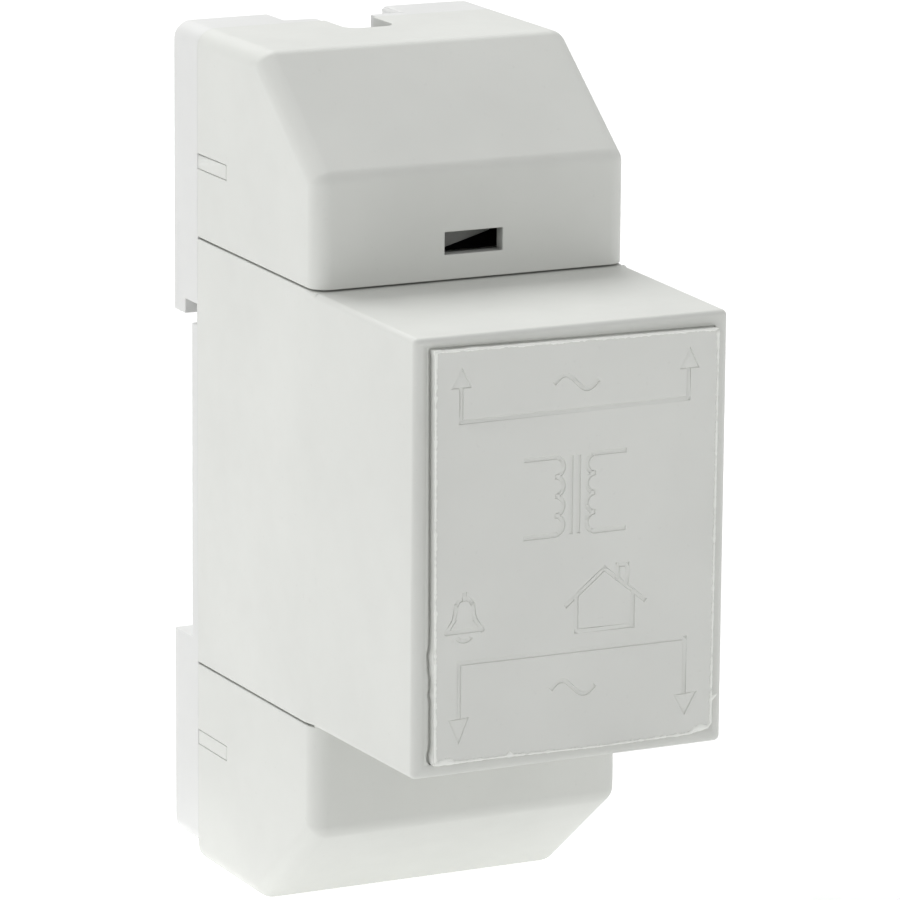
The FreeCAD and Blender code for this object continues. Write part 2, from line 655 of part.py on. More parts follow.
def make_tags():
    tags = []
    for x in TERMINAL_XS:
        strip = block(x - TAG_WIDTH / 2, x + TAG_WIDTH / 2, TAG_D, TAG_D + TAG_THICKNESS,
                      tag_low_z(), CAGE_FLOOR_Z + CAGE_HEIGHT + TAG_TOP)
        shoulder = block(x - TAG_WIDTH / 2 - TAG_SHOULDER, x + TAG_WIDTH / 2 + TAG_SHOULDER, TAG_D,
                         TAG_D + TAG_THICKNESS, CAGE_FLOOR_Z, CAGE_FLOOR_Z + CAGE_HEIGHT + TAG_TOP)
        tags.append(strip.fuse(shoulder).removeSplitter())
    return Part.makeCompound(tags)


# Transformer core and coil
def make_e_core():
    half = CORE_STACK / 2
    core = block(-half, half, LEG_END_D, CORE_FRONT_D, -CORE_HALF_Z, CORE_HALF_Z)
    windows = [block(-half - THROUGH, half + THROUGH, LEG_END_D - THROUGH, YOKE_D, z, z + CORE_WINDOW)
               for z in (CORE_LEG / 2, -CORE_LEG / 2 - CORE_WINDOW)]
    return core.cut(windows)


def make_i_core():
    half = CORE_STACK / 2
    return block(-half, half, CORE_REAR_D, LEG_END_D, -CORE_HALF_Z, CORE_HALF_Z)


def chamfered_bar(half_x, half_z, d0, d1, corner):
    """Bar along the depth whose four long edges are chamfered."""
    bar = block(-half_x, half_x, d0, d1, -half_z, half_z)
    along = edges_where(bar, lambda a, b: near(a[0], b[0]) and near(a[2], b[2]))
    return bar.makeChamfer(corner, along)


def ring(half_x, half_z, wall, d0, d1, corner):
    """Rectangular sleeve along the depth; half sizes are those of its hole."""
    outer = chamfered_bar(half_x + wall, half_z + wall, d0, d1, corner)
    return outer.cut(block(-half_x, half_x, d0 - THROUGH, d1 + THROUGH, -half_z, half_z))


def tube_half():
    return CORE_STACK / 2 + BOBBIN_GAP, CORE_LEG / 2 + BOBBIN_GAP


def chamber_depths():
    """Rear and front of the primary chamber and of the secondary chamber."""
    rear = BOBBIN_REAR_D + BOBBIN_FLANGE
    front = BOBBIN_FRONT_D - BOBBIN_FLANGE
    split = rear + (front - rear - BOBBIN_FLANGE) * PRIMARY_SHARE
    return (rear, split), (split + BOBBIN_FLANGE, front)


def make_bobbin():
    half_x, half_z = tube_half()
    tube = ring(half_x, half_z, BOBBIN_WALL, BOBBIN_REAR_D, BOBBIN_FRONT_D, BOBBIN_CORNER)
    primary, secondary = chamber_depths()
    flanges = [ring(half_x, half_z, BOBBIN_REACH, d, d + BOBBIN_FLANGE, BOBBIN_CORNER)
               for d in (BOBBIN_REAR_D, primary[1], secondary[1])]
    return tube.fuse(flanges).removeSplitter()


def winding_inner():
    """Distance from the tube's hole to the inside of a winding."""
    return BOBBIN_WALL + WINDING_GAP


def winding_wall():
    return BOBBIN_REACH - WINDING_INSET - winding_inner()


def make_winding(depths):
    """Block of wound wire in one chamber."""
    half_x, half_z = tube_half()
    inner = winding_inner()
    d0, d1 = depths[0] + WINDING_GAP, depths[1] - WINDING_GAP
    return ring(half_x + inner, half_z + inner, winding_wall(), d0, d1, WINDING_CORNER)


def make_tape(depths):
    """Band of tape round a winding, with the winding's own chamfered corners."""
    half_x, half_z = tube_half()
    under = winding_inner() + winding_wall() + WINDING_GAP
    over = under + TAPE_THICKNESS
    d0, d1 = depths[0] + WINDING_GAP, depths[1] - WINDING_GAP
    inner = chamfered_bar(half_x + under, half_z + under, d0 - THROUGH, d1 + THROUGH, WINDING_CORNER)
    outer = chamfered_bar(half_x + over, half_z + over, d0, d1, WINDING_CORNER + TAPE_THICKNESS / 2)
    return outer.cut(inner)


def make_cutout():
    """Thermal cut-out that lies against the rear flange of the bobbin, beside the core."""
    half = CUTOUT_WIDTH / 2
    return block(LEAD_X - half, LEAD_X + half, BOBBIN_REAR_D - CUTOUT_DEPTH, BOBBIN_REAR_D,
                 -CUTOUT_HEIGHT / 2, CUTOUT_HEIGHT / 2)


# Leads
def bent_wire(points, radius):
    """Round wire along a path of (x, depth, height) points: bars cut to a mitre at each bend."""
    places = [V(x, -d, z) for x, d, z in points]
    bars = []
    for i in range(len(places) - 1):
        along = (places[i + 1] - places[i]).normalize()
        start, end = places[i], places[i + 1]
        first = i == 0
        last = i == len(places) - 2
        low = start if first else start - along * 2 * radius
        high = end if last else end + along * 2 * radius
        bar = Part.makeCylinder(radius, (high - low).Length, low, along)
        if not first:
            bar = bar.cut(mitre_waste(start, (places[i] - places[i - 1]).normalize() + along, -1, radius))
        if not last:
            bar = bar.cut(mitre_waste(end, along + (places[i + 2] - places[i + 1]).normalize(), 1, radius))
        bars.append(bar)
    return bars[0].fuse(bars[1:])


def mitre_waste(place, normal, side, radius):
    """Block on one side of the mitre plane through a bend."""
    size = 12 * radius
    waste = Part.makeBox(size, size, size, V(-size / 2, -size / 2, 0))
    waste.Placement = FreeCAD.Placement(place, FreeCAD.Rotation(V(0, 0, 1), normal * side))
    return waste


def lead_start(side, up):
    """First points of a lead: square off the inner end of a tag, then outward behind the core."""
    x = side * TERMINAL_PITCH / 2
    z = up * (tag_low_z() + TAG_TAIL / 2)
    return [(x, TAG_D + TAG_THICKNESS, z), (x, LEAD_D, z), (side * LEAD_X, LEAD_D, up * LEAD_Z)]


def make_secondary_leads():
    paths = [lead_start(side, 1) + [(side * LEAD_X, BOBBIN_REAR_D, LEAD_Z)] for side in (-1, 1)]
    return Part.makeCompound([bent_wire(points, LEAD_RADIUS) for points in paths])


def make_primary_leads():
    """One lead to the coil and one to the cut-out."""
    left = lead_start(-1, -1) + [(-LEAD_X, BOBBIN_REAR_D, -LEAD_Z)]
    cutout_d = BOBBIN_REAR_D - CUTOUT_DEPTH / 2
    right = lead_start(1, -1) + [(LEAD_X, cutout_d, -LEAD_Z), (LEAD_X, cutout_d, -CUTOUT_HEIGHT / 2)]
    return Part.makeCompound([bent_wire(points, LEAD_RADIUS) for points in (left, right)])


def make_cutout_lead():
    """Short lead from the cut-out back to the coil."""
    d = BOBBIN_REAR_D - CUTOUT_DEPTH / 2
    z = CUTOUT_HEIGHT / 2
    points = [(LEAD_X, d, z), (LEAD_X, d, z + LEAD_STUB), (LEAD_X, BOBBIN_REAR_D, z + LEAD_STUB)]
    return bent_wire(points, LEAD_RADIUS)


def make_parts():
    cover = make_upper_cover()
    carrier = make_carrier()
    clamps = make_clamps()
    screws = make_clamp_screws()
    tags = make_tags()
    primary_chamber, secondary_chamber = chamber_depths()
    return {
        "main_housing": make_housing(),
        "rating_plate": make_rating_plate(),
        "upper_cover": cover,
        "lower_cover": turned(cover),
        "rear_base": make_rear_base(),
        "base_screws": make_base_screws(),
        "rail_latch": make_rail_latch(),
        "latch_spring": make_latch_spring(),
        "secondary_terminal_block": carrier,
        "primary_terminal_block": turned(carrier),
        "secondary_clamps": clamps,
        "primary_clamps": turned(clamps),
        "secondary_clamp_screws": screws,
        "primary_clamp_screws": turned(screws),
        "secondary_tags": tags,
        "primary_tags": turned(tags),
        "e_core": make_e_core(),
        "i_core": make_i_core(),
        "bobbin": make_bobbin(),
        "primary_winding": make_winding(primary_chamber),
        "secondary_winding": make_winding(secondary_chamber),
        "primary_tape": make_tape(primary_chamber),
        "secondary_tape": make_tape(secondary_chamber),
        "thermal_cutout": make_cutout(),
        "primary_leads": make_primary_leads(),
        "secondary_leads": make_secondary_leads(),
        "cutout_lead": make_cutout_lead(),
    }


def export_parts():
    os.makedirs("parts", exist_ok=True)
    to_rail = V(0, -BASE_FLANGE, RAIL_DROP)
    for node, shape in make_parts().items():
        shape.translate(to_rail)
        shape.exportStep("parts/" + node + ".step")


export_parts()
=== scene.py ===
import math

import bmesh
import bpy
from mathutils import Matrix, Vector, noise
from mathutils.geometry import delaunay_2d_cdt


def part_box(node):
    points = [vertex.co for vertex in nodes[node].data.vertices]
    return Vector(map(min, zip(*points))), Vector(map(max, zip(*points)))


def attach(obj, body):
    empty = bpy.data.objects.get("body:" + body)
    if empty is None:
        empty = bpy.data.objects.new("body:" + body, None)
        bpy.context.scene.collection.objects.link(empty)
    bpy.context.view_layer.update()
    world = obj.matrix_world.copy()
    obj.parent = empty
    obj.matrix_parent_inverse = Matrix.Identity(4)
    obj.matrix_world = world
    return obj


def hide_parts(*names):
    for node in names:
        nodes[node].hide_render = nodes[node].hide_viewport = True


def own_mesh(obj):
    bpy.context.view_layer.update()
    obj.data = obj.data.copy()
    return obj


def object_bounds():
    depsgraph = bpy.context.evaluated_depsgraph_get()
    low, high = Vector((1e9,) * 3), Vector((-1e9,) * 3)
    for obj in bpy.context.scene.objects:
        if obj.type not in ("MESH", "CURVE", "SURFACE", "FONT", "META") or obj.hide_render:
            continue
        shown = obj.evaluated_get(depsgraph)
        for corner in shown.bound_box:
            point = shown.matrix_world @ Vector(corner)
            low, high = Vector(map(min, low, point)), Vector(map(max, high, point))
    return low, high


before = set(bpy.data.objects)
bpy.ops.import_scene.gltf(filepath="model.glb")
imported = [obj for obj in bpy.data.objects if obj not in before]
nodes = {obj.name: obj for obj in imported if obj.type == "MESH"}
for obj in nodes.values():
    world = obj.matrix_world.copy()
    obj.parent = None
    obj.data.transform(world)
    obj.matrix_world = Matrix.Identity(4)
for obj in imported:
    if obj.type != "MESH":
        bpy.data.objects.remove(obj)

cad_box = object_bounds()
scene = bpy.context.scene
scene.view_settings.view_transform = "Standard"
scene.view_settings.look = "None"

MM = 0.001

# Camera, fitted to edge lines of the photograph; angles in degrees, lengths in mm
CAMERA_AZIMUTH = -26.158
CAMERA_ELEVATION = 13.290
CAMERA_ROLL = -0.457
CAMERA_DISTANCE = 659.5
CAMERA_PAN = (10.80, -1.479)
CAMERA_TARGET = (0.0, -1.6, 1.6)
FOCAL_PIXELS = 6135.0
IMAGE_PIXELS = 900.0
SENSOR_MM = 36.0

# Nearest and farthest distance that the camera sees, in metres
CAMERA_CLIP = (0.01, 20.0)

# Colours
HOUSING_GREY = (0.69, 0.70, 0.67)
COVER_GREY = (0.69, 0.70, 0.67)
PLATE_GREY = (0.705, 0.715, 0.685)
BASE_GREY = (0.72, 0.725, 0.715)
LATCH_GREY = (0.50, 0.50, 0.49)
TERMINAL_BLACK = (0.022, 0.022, 0.024)
BOBBIN_CREAM = (0.70, 0.66, 0.55)
CUTOUT_BLACK = (0.03, 0.03, 0.033)
LEAD_CREAM = (0.70, 0.68, 0.62)
SCREW_ZINC = (0.62, 0.61, 0.58)
CLAMP_ZINC = (0.60, 0.60, 0.57)
SPRING_GREY = (0.42, 0.42, 0.43)
TAG_YELLOW = (0.66, 0.50, 0.22)
# painted highlight: the flash bead's colour is lighter than the plate's to stand for the light it catches
FLASH_PAINTED_HIGHLIGHT = 1.22

# Lowest and highest roughness of the mouldings
MATTE = (0.40, 0.54)
PLATE_MATTE = (0.42, 0.58)
TERMINAL_SATIN = (0.36, 0.5)
SATIN = (0.3, 0.45)

# Scales of the texture coordinates, per metre: even, and drawn out along one axis
EVEN = (1000.0, 1000.0, 1000.0)
ALONG_X = (150.0, 1000.0, 1000.0)
ALONG_Z = (1000.0, 1000.0, 150.0)

# Painted shade in the covers' deep corners: reach in mm, share of the brightness, and openness where dark
# and where plain
CORNER_REACH = 6.0
CORNER_SHADE = 0.45
CORNER_DARK = 0.25
CORNER_PLAIN = 0.8

# Rounded edges and shading of the copies of CAD nodes, in mm, square mm and degrees
EDGE_RADIUS = 0.12
BLOCK_EDGE_RADIUS = 0.10
CAGE_EDGE_RADIUS = 0.08
EDGE_STEPS = 2
ROUNDED_ABOVE = 35.0
JOINED_BELOW = 0.6
WELD_DISTANCE = 0.002
SLIVER_AREA = 0.1
SHADED_SHARP = 50.0
NORMAL_WEIGHT = 80

# Close fits, in mm: front of the base, catches in the covers' sides, and how far their gaps are closed
SEAM_Y = -1.6
SEAM_OPEN = 0.25
SEAM_SHOWN = 0.02
CATCH_MIDDLES = (33.0, -29.8)
CATCH_HALF = 1.0
CATCH_END_Y = -9.2
CATCH_INNER_X = 16.0
CATCH_CLOSED = 0.12
RECESS_MARGIN = 0.1

# End of the rounding on the nose's long edges, in mm
ROUND_END_Y = -31.1
ROUND_RUN_OUT = 2.4
SHOULDER_X = 17.75
SHOULDER_LENGTH = 5.0
SAME_PLACE = 0.01

# Rating plate, in mm of the CAD frame: corners of its trimmed edge as (x, z), and depths
PLATE_CORNERS = ((-15.62, 22.89), (-15.38, -19.38), (15.90, -19.45), (15.98, 22.50))
PLATE_BACK_Y = -52.9
PLATE_LEDGE_Y = -53.69
PLATE_LEDGE_LOW = (-16.15, -19.5)
PLATE_LEDGE_HIGH = (16.15, 23.1)
PLATE_FIELD_Y = -54.56
PLATE_EDGE_Y = -54.44
LEDGE_REACH = 2.0
GROOVE_Y = -53.25
GROOVE_TOP_Y = -53.45
GROOVE_WIDE = 0.36
GROOVE_NARROW = 0.12
EDGE_FACING = 0.5
RIM_PITCH = 0.3
RIM_WIDTH = 0.07
FIELD_PITCH = 1.6
FIELD_START = 1.2
FIELD_END = 1.0
FIELD_WAVE = 0.015
CUT_TOLERANCE = 1e-5
SHORTEST_EDGE = 0.001

# Signs on the plate, in mm
MARK_WIDTH = 0.5
CORE_WIDTH = 0.4
MARK_WALL = 0.07
MARK_DEPTH = 0.12
ARC_STEPS = 14
WAVE_STEPS = 24
WAVE_LENGTH = 5.0
WAVE_HEIGHT = 0.8
WAVE_PLACES = ((0.0, 18.45), (0.0, -13.0))

# Lower edge from left to right with the worn corner at its end, as (x, z)
LOW_EDGE = ((-10.4, -19.33), (-7.0, -19.36), (3.1, -19.55), (13.4, -19.43))
WORN_CORNER = ((14.05, -19.25), (14.9, -19.1), (15.55, -18.95), (15.84, -18.55))

# Burrs of the trimmed edge: its unevenness, and place, reach outward and half width along the edge, in mm
BURR_SLOW = 0.03
BURR_QUICK = 0.02
BURRS = (
    (-15.5, -8.35, 0.22, 0.9), (-15.5, -9.75, 0.15, 0.5), (-15.45, -12.25, 0.12, 0.3),
    (-15.4, -18.6, 0.20, 0.7), (-15.6, 22.8, 0.10, 0.35), (-11.2, 22.8, 0.06, 0.8),
)

# Bead of flash on the plate's edge, in mm
BEAD_PITCH = 0.2
BEAD_RADIUS = 0.12
BEAD_SIDES = 8
BEAD_PROUD = 0.13

# Unevenness of the bead and its flakes, as shares of their size, and the taper of its tips at each point
BEAD_LEAST = 0.3
BEAD_SLOW = 0.8
BEAD_QUICK = 0.9
BEAD_TIP = 0.3
BEAD_TAPER = 0.5
BEAD_OVERHANG = 0.6
FLAKE_EVEN = 0.8
FLAKE_QUICK = 1.2

# Loose ends of the flash at two corners, as (x, z)
WHISKER = ((15.8, -16.3), (16.1, -15.9), (16.5, -15.6), (16.6, -15.5))
CURL = ((-15.75, 22.55), (-15.6, 22.85), (-15.2, 22.9), (-14.6, 22.85))

# Swellings of the flash bead: place, extra radius and half width along the edge, in mm
SWELLINGS = (
    (-15.1, -19.4, 0.04, 0.5), (-13.0, -19.35, 0.06, 0.4), (-11.7, -19.35, 0.05, 0.8),
    (-7.0, -19.36, 0.07, 0.35), (11.9, -19.45, 0.04, 1.2), (14.3, -19.2, 0.05, 0.5),
    (15.84, -16.3, 0.05, 0.7), (15.83, -18.2, 0.05, 0.5), (15.9, 5.3, 0.03, 1.6), (15.9, 21.6, 0.03, 1.2),
)

# Flakes of flash that lie on the plate's front: place, reach inward and half width along the edge, in mm
FLAKES = ((-14.3, -19.36, 0.45, 0.9), (14.4, -19.15, 0.3, 0.7), (-7.0, -19.36, 0.25, 0.35))

# Latch spring, in mm
SPRING_RADIUS = 1.45
SPRING_WIRE = 0.25
SPRING_LOW = -37.1
SPRING_HIGH = -26.1
SPRING_TURNS = 6.5
SPRING_CLOSED_TURNS = 0.8
SPRING_TURN_STEPS = 28
SPRING_SIDES = 10
SPRING_Y = 2.3

# Floor: size and drop in metres, and its glow, which is even out to one distance and fades to the next
FLOOR_HALF = 3.0
FLOOR_DROP = 0.0002
FLOOR_WHITE = (0.90, 0.90, 0.90, 1.0)
FLOOR_GLOW = 0.53
GLOW_FULL = 0.02
GLOW_END = 0.05
GLOW_SHAPE = (1.1, 1.0, 0.0)
GLOW_CENTRE_Y = -0.012
GLOW_FAR = 0.10

# Lights: name, place in metres, size in metres and power in watts
LIGHTS = (
    ("left_window", (-0.95, 0.05, 0.05), (0.7, 0.7), 2.85),
    ("left_back", (-0.8, 0.45, 0.30), (0.7, 0.7), 0.65),
    ("overhead", (0.0, -0.10, 1.20), (1.0, 1.0), 1.2),
    ("back_top", (0.0, 0.70, 1.00), (1.0, 0.8), 11.3),
    ("front_right", (0.6, -0.90, 0.35), (0.7, 0.7), 1.65),
)
LIGHT_TARGET = (0.0, -0.025, 0.0)
WORLD_GLOW = 0.44
WHITE = (1.0, 1.0, 1.0, 1.0)


# Material nodes
def new_material(name):
    material = bpy.data.materials.new(name)
    material.use_nodes = True
    tree = material.node_tree
    return material, tree, tree.nodes["Principled BSDF"]


def place(tree, scale=EVEN):
    """Position in the piece's own frame; with the even scale one unit is a millimetre."""
    source = tree.nodes.new("ShaderNodeTexCoord")
    mapping = tree.nodes.new("ShaderNodeMapping")
    mapping.inputs["Scale"].default_value = scale
    tree.links.new(source.outputs["Object"], mapping.inputs["Vector"])
    return mapping.outputs["Vector"]


def noise_value(tree, vector, scale, detail=2.0, roughness=0.5):
    node = tree.nodes.new("ShaderNodeTexNoise")
    node.inputs["Scale"].default_value = scale
    node.inputs["Detail"].default_value = detail
    node.inputs["Roughness"].default_value = roughness
    tree.links.new(vector, node.inputs["Vector"])
    return node.outputs["Fac"]


def wave_value(tree, vector, direction, scale, distortion):
    """Bands across one axis."""
    node = tree.nodes.new("ShaderNodeTexWave")
    node.bands_direction = direction
    node.inputs["Scale"].default_value = scale
    node.inputs["Distortion"].default_value = distortion
    tree.links.new(vector, node.inputs["Vector"])
    return node.outputs["Fac"]


def spread(tree, value, low, high, from_low=0.3, from_high=0.7):
    """Maps a value from one range to another; the default range is that of a noise value."""
    node = tree.nodes.new("ShaderNodeMapRange")
    node.inputs["From Min"].default_value = from_low
    node.inputs["From Max"].default_value = from_high
    node.inputs["To Min"].default_value = low
    node.inputs["To Max"].default_value = high
    tree.links.new(value, node.inputs["Value"])
    return node.outputs["Result"]


def blend_colour(tree, factor, first, second):
    node = tree.nodes.new("ShaderNodeMix")
    node.data_type = "RGBA"
    for socket, value in ((6, first), (7, second)):
        if isinstance(value, tuple):
            node.inputs[socket].default_value = (*value, 1.0)
        else:
            tree.links.new(value, node.inputs[socket])
    tree.links.new(factor, node.inputs[0])
    return node.outputs[2]


def bump(tree, height, distance, strength, below=None):
    node = tree.nodes.new("ShaderNodeBump")
    node.inputs["Distance"].default_value = distance
    node.inputs["Strength"].default_value = strength
    tree.links.new(height, node.inputs["Height"])
    if below is not None:
        tree.links.new(below, node.inputs["Normal"])
    return node.outputs["Normal"]


def shade(colour, factor):
    return tuple(min(1.0, c * factor) for c in colour)


def painted_corner_shade(tree, colour, deep):
    """Painted shade: darker colour in slots and corners that the same piece closes in within the reach."""
    closed = tree.nodes.new("ShaderNodeAmbientOcclusion")
    closed.only_local = True
    closed.samples = 8
    closed.inputs["Distance"].default_value = CORNER_REACH * MM
    plain = spread(tree, closed.outputs["AO"], 0.0, 1.0, CORNER_DARK, CORNER_PLAIN)
    return blend_colour(tree, plain, deep, colour)


# Materials
def moulded_plastic(name, colour, gloss=MATTE, grain=0.35, painted_shade_in_corners=False):
    """Matte moulding: faint flow mottling, a fine spark-eroded grain and slow unevenness of the surface; on
    request, painted shade darkens its deep corners.
    """
    material, tree, shader = new_material(name)
    where = place(tree)
    mottle = noise_value(tree, where, 0.07, 3.0, 0.55)
    clouds = blend_colour(tree, spread(tree, mottle, 0.0, 1.0), shade(colour, 0.975), shade(colour, 1.02))
    specks = noise_value(tree, where, 1.7, 2.0, 0.6)
    tone = blend_colour(tree, spread(tree, specks, 0.0, 0.5, 0.66, 0.82), clouds, shade(colour, 0.90))
    if painted_shade_in_corners:
        # painted shade: the colour darkens in slots and corners that the piece closes in
        tone = painted_corner_shade(tree, tone, shade(colour, CORNER_SHADE))
    tree.links.new(tone, shader.inputs["Base Color"])
    rub = noise_value(tree, where, 0.35, 4.0, 0.6)
    tree.links.new(spread(tree, rub, gloss[0], gloss[1]), shader.inputs["Roughness"])
    slow = bump(tree, noise_value(tree, where, 0.16, 1.0), 0.0003, 0.12)
    fine = bump(tree, noise_value(tree, where, 9.0, 2.0), 0.00002, grain, slow)
    tree.links.new(fine, shader.inputs["Normal"])
    shader.inputs["Specular IOR Level"].default_value = 0.25
    return material


def metal(name, colour, gloss, stretch, grain=0.4):
    """Plated or rolled metal with fine drawn lines along one direction and cloudy tarnish."""
    material, tree, shader = new_material(name)
    where = place(tree)
    lines = noise_value(tree, place(tree, stretch), 4.0, 3.0)
    cloud = noise_value(tree, where, 0.5, 3.0, 0.6)
    tone = blend_colour(tree, spread(tree, cloud, 0.0, 1.0), shade(colour, 0.82), colour)
    tree.links.new(tone, shader.inputs["Base Color"])
    tree.links.new(spread(tree, cloud, gloss[0], gloss[1]), shader.inputs["Roughness"])
    tree.links.new(bump(tree, lines, 0.00003, grain), shader.inputs["Normal"])
    shader.inputs["Metallic"].default_value = 1.0
    return material


def laminated_steel(name):
    """Edges of stacked sheets: thin dark lines across the width, with a little rust-brown varnish."""
    material, tree, shader = new_material(name)
    where = place(tree)
    sheets = wave_value(tree, where, "X", 0.63, 0.3)
    cloud = noise_value(tree, where, 0.4, 3.0)
    steel = blend_colour(tree, sheets, (0.06, 0.055, 0.055), (0.24, 0.23, 0.23))
    tone = blend_colour(tree, spread(tree, cloud, 0.0, 0.35), steel, (0.16, 0.09, 0.05))
    tree.links.new(tone, shader.inputs["Base Color"])
    tree.links.new(spread(tree, cloud, 0.38, 0.6), shader.inputs["Roughness"])
    tree.links.new(bump(tree, sheets, 0.0001, 0.5), shader.inputs["Normal"])
    shader.inputs["Metallic"].default_value = 0.8
    return material


def wound_wire(name):
    """Enamelled wire laid side by side along the depth."""
    material, tree, shader = new_material(name)
    where = place(tree)
    turns = wave_value(tree, where, "Y", 1.1, 0.25)
    cloud = noise_value(tree, where, 0.6, 2.0)
    copper = blend_colour(tree, turns, (0.20, 0.06, 0.02), (0.62, 0.25, 0.10))
    tone = blend_colour(tree, spread(tree, cloud, 0.0, 0.3), copper, (0.35, 0.12, 0.04))
    tree.links.new(tone, shader.inputs["Base Color"])
    tree.links.new(spread(tree, cloud, 0.22, 0.38), shader.inputs["Roughness"])
    tree.links.new(bump(tree, turns, 0.00015, 0.8), shader.inputs["Normal"])
    shader.inputs["Metallic"].default_value = 0.9
    return material


def film_tape(name):
    """Yellow film with the ridges of the wire under it and faint wrinkles."""
    material, tree, shader = new_material(name)
    where = place(tree)
    ridges = wave_value(tree, where, "Y", 0.55, 1.5)
    wrinkle = noise_value(tree, where, 0.5, 4.0)
    tone = blend_colour(tree, spread(tree, wrinkle, 0.0, 1.0), (0.62, 0.40, 0.03), (0.80, 0.60, 0.08))
    tree.links.new(tone, shader.inputs["Base Color"])
    tree.links.new(spread(tree, wrinkle, 0.18, 0.35), shader.inputs["Roughness"])
    ridged = bump(tree, ridges, 0.0001, 0.3)
    tree.links.new(bump(tree, wrinkle, 0.0002, 0.4, ridged), shader.inputs["Normal"])
    return material


housing_plastic = moulded_plastic("housing_plastic", HOUSING_GREY)
# the covers carry painted shade in their deep slots and corners
cover_plastic = moulded_plastic("cover_plastic", COVER_GREY, painted_shade_in_corners=True)
plate_plastic = moulded_plastic("plate_plastic", PLATE_GREY, PLATE_MATTE, 0.25)
# painted highlight: the flash bead is coloured lighter than the plate to stand for light catching its edges
flash_highlight_plastic = moulded_plastic("flash_highlight_plastic", shade(PLATE_GREY, FLASH_PAINTED_HIGHLIGHT), PLATE_MATTE, 0.25)
base_plastic = moulded_plastic("base_plastic", BASE_GREY)
latch_plastic = moulded_plastic("latch_plastic", LATCH_GREY)
terminal_plastic = moulded_plastic("terminal_plastic", TERMINAL_BLACK, TERMINAL_SATIN)
bobbin_plastic = moulded_plastic("bobbin_plastic", BOBBIN_CREAM, SATIN)
cutout_body = moulded_plastic("cutout_body", CUTOUT_BLACK, SATIN)
lead_insulation = moulded_plastic("lead_insulation", LEAD_CREAM, SATIN, 0.2)
screw_steel = metal("screw_steel", SCREW_ZINC, (0.24, 0.42), ALONG_Z)
clamp_steel = metal("clamp_steel", CLAMP_ZINC, (0.28, 0.45), ALONG_X)
spring_steel = metal("spring_steel", SPRING_GREY, (0.2, 0.36), EVEN, 0.2)
tag_brass = metal("tag_brass", TAG_YELLOW, (0.25, 0.42), ALONG_Z)
core_steel = laminated_steel("core_steel")
winding_wire = wound_wire("winding_wire")
tape = film_tape("tape")


# Meshes and pieces
def to_mesh(shape, name):
    mesh = bpy.data.meshes.new(name)
    shape.to_mesh(mesh)
    shape.free()
    return mesh


def skin(shape, rings):
    """Faces of a closed tube through rings of vertices, with a flat cap at each end."""
    sides = len(rings[0])
    for a, b in zip(rings, rings[1:]):
        for k in range(sides):
            shape.faces.new((a[k], a[(k + 1) % sides], b[(k + 1) % sides], b[k]))
    shape.faces.new(rings[0])
    shape.faces.new(rings[-1][::-1])


def finish_mesh(obj, material):
    obj.data.materials.clear()
    obj.data.materials.append(material)
    obj.data.shade_smooth()
    obj.data.set_sharp_from_angle(angle=math.radians(SHADED_SHARP))
    weighted = obj.modifiers.new("weighted", "WEIGHTED_NORMAL")
    weighted.keep_sharp = True
    weighted.weight = NORMAL_WEIGHT


def add_piece(name, mesh, body, material, replaced=()):
    obj = bpy.data.objects.new(name, mesh)
    scene.collection.objects.link(obj)
    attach(obj, body)
    finish_mesh(obj, material)
    for node in replaced:
        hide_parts(node)
    return obj


# Pieces made from CAD nodes, with small rounded edges
def at_seam(point):
    return abs(point.y - SEAM_Y) < SEAM_OPEN


def catch_side(point):
    """Zero away from the catches, and otherwise 1 above or -1 below the middle of one."""
    if abs(point.x) > CATCH_INNER_X and point.y > CATCH_END_Y:
        for middle in CATCH_MIDDLES:
            if abs(point.z - middle) < CATCH_HALF:
                return math.copysign(1.0, point.z - middle)
    return 0.0


def in_recess(point):
    if point.y >= PLATE_BACK_Y + RECESS_MARGIN:
        return False
    spans = zip((point.x, point.z), PLATE_LEDGE_LOW, PLATE_LEDGE_HIGH)
    return all(low - RECESS_MARGIN < value < high + RECESS_MARGIN for value, low, high in spans)


def at_fit(vertex):
    """Whether a vertex lies at the seam to the base or in the plate's recess, where edges are crisp."""
    point = vertex.co / MM
    return at_seam(point) or in_recess(point)


def close_fits(shape, node):
    """Narrows the gap behind a cover and the slits beside the catches to what shows on the object."""
    for v in shape.verts:
        point = v.co / MM
        if node.endswith("_cover") and at_seam(point):
            v.co.y = (SEAM_Y - SEAM_SHOWN) * MM
        if node == "main_housing":
            side = catch_side(point)
            v.co.z += side * CATCH_CLOSED * MM
            if side != 0.0 and not at_seam(point):
                v.co.y -= CATCH_CLOSED * MM


def run_out_rounding(shape):
    """Lets the rounding of the nose's edges run out under the covers, along the sharp edge behind it."""
    for v in shape.verts:
        point = v.co / MM
        if abs(point.x) > SHOULDER_X and abs(point.y - ROUND_END_Y) < SAME_PLACE:
            ends = [e.other_vert(v) for e in v.link_edges]
            behind = [end for end in ends if end.co.y > v.co.y + SHOULDER_LENGTH * MM]
            if behind:
                along = (behind[0].co - v.co).normalized()
                v.co += along * ROUND_RUN_OUT * MM


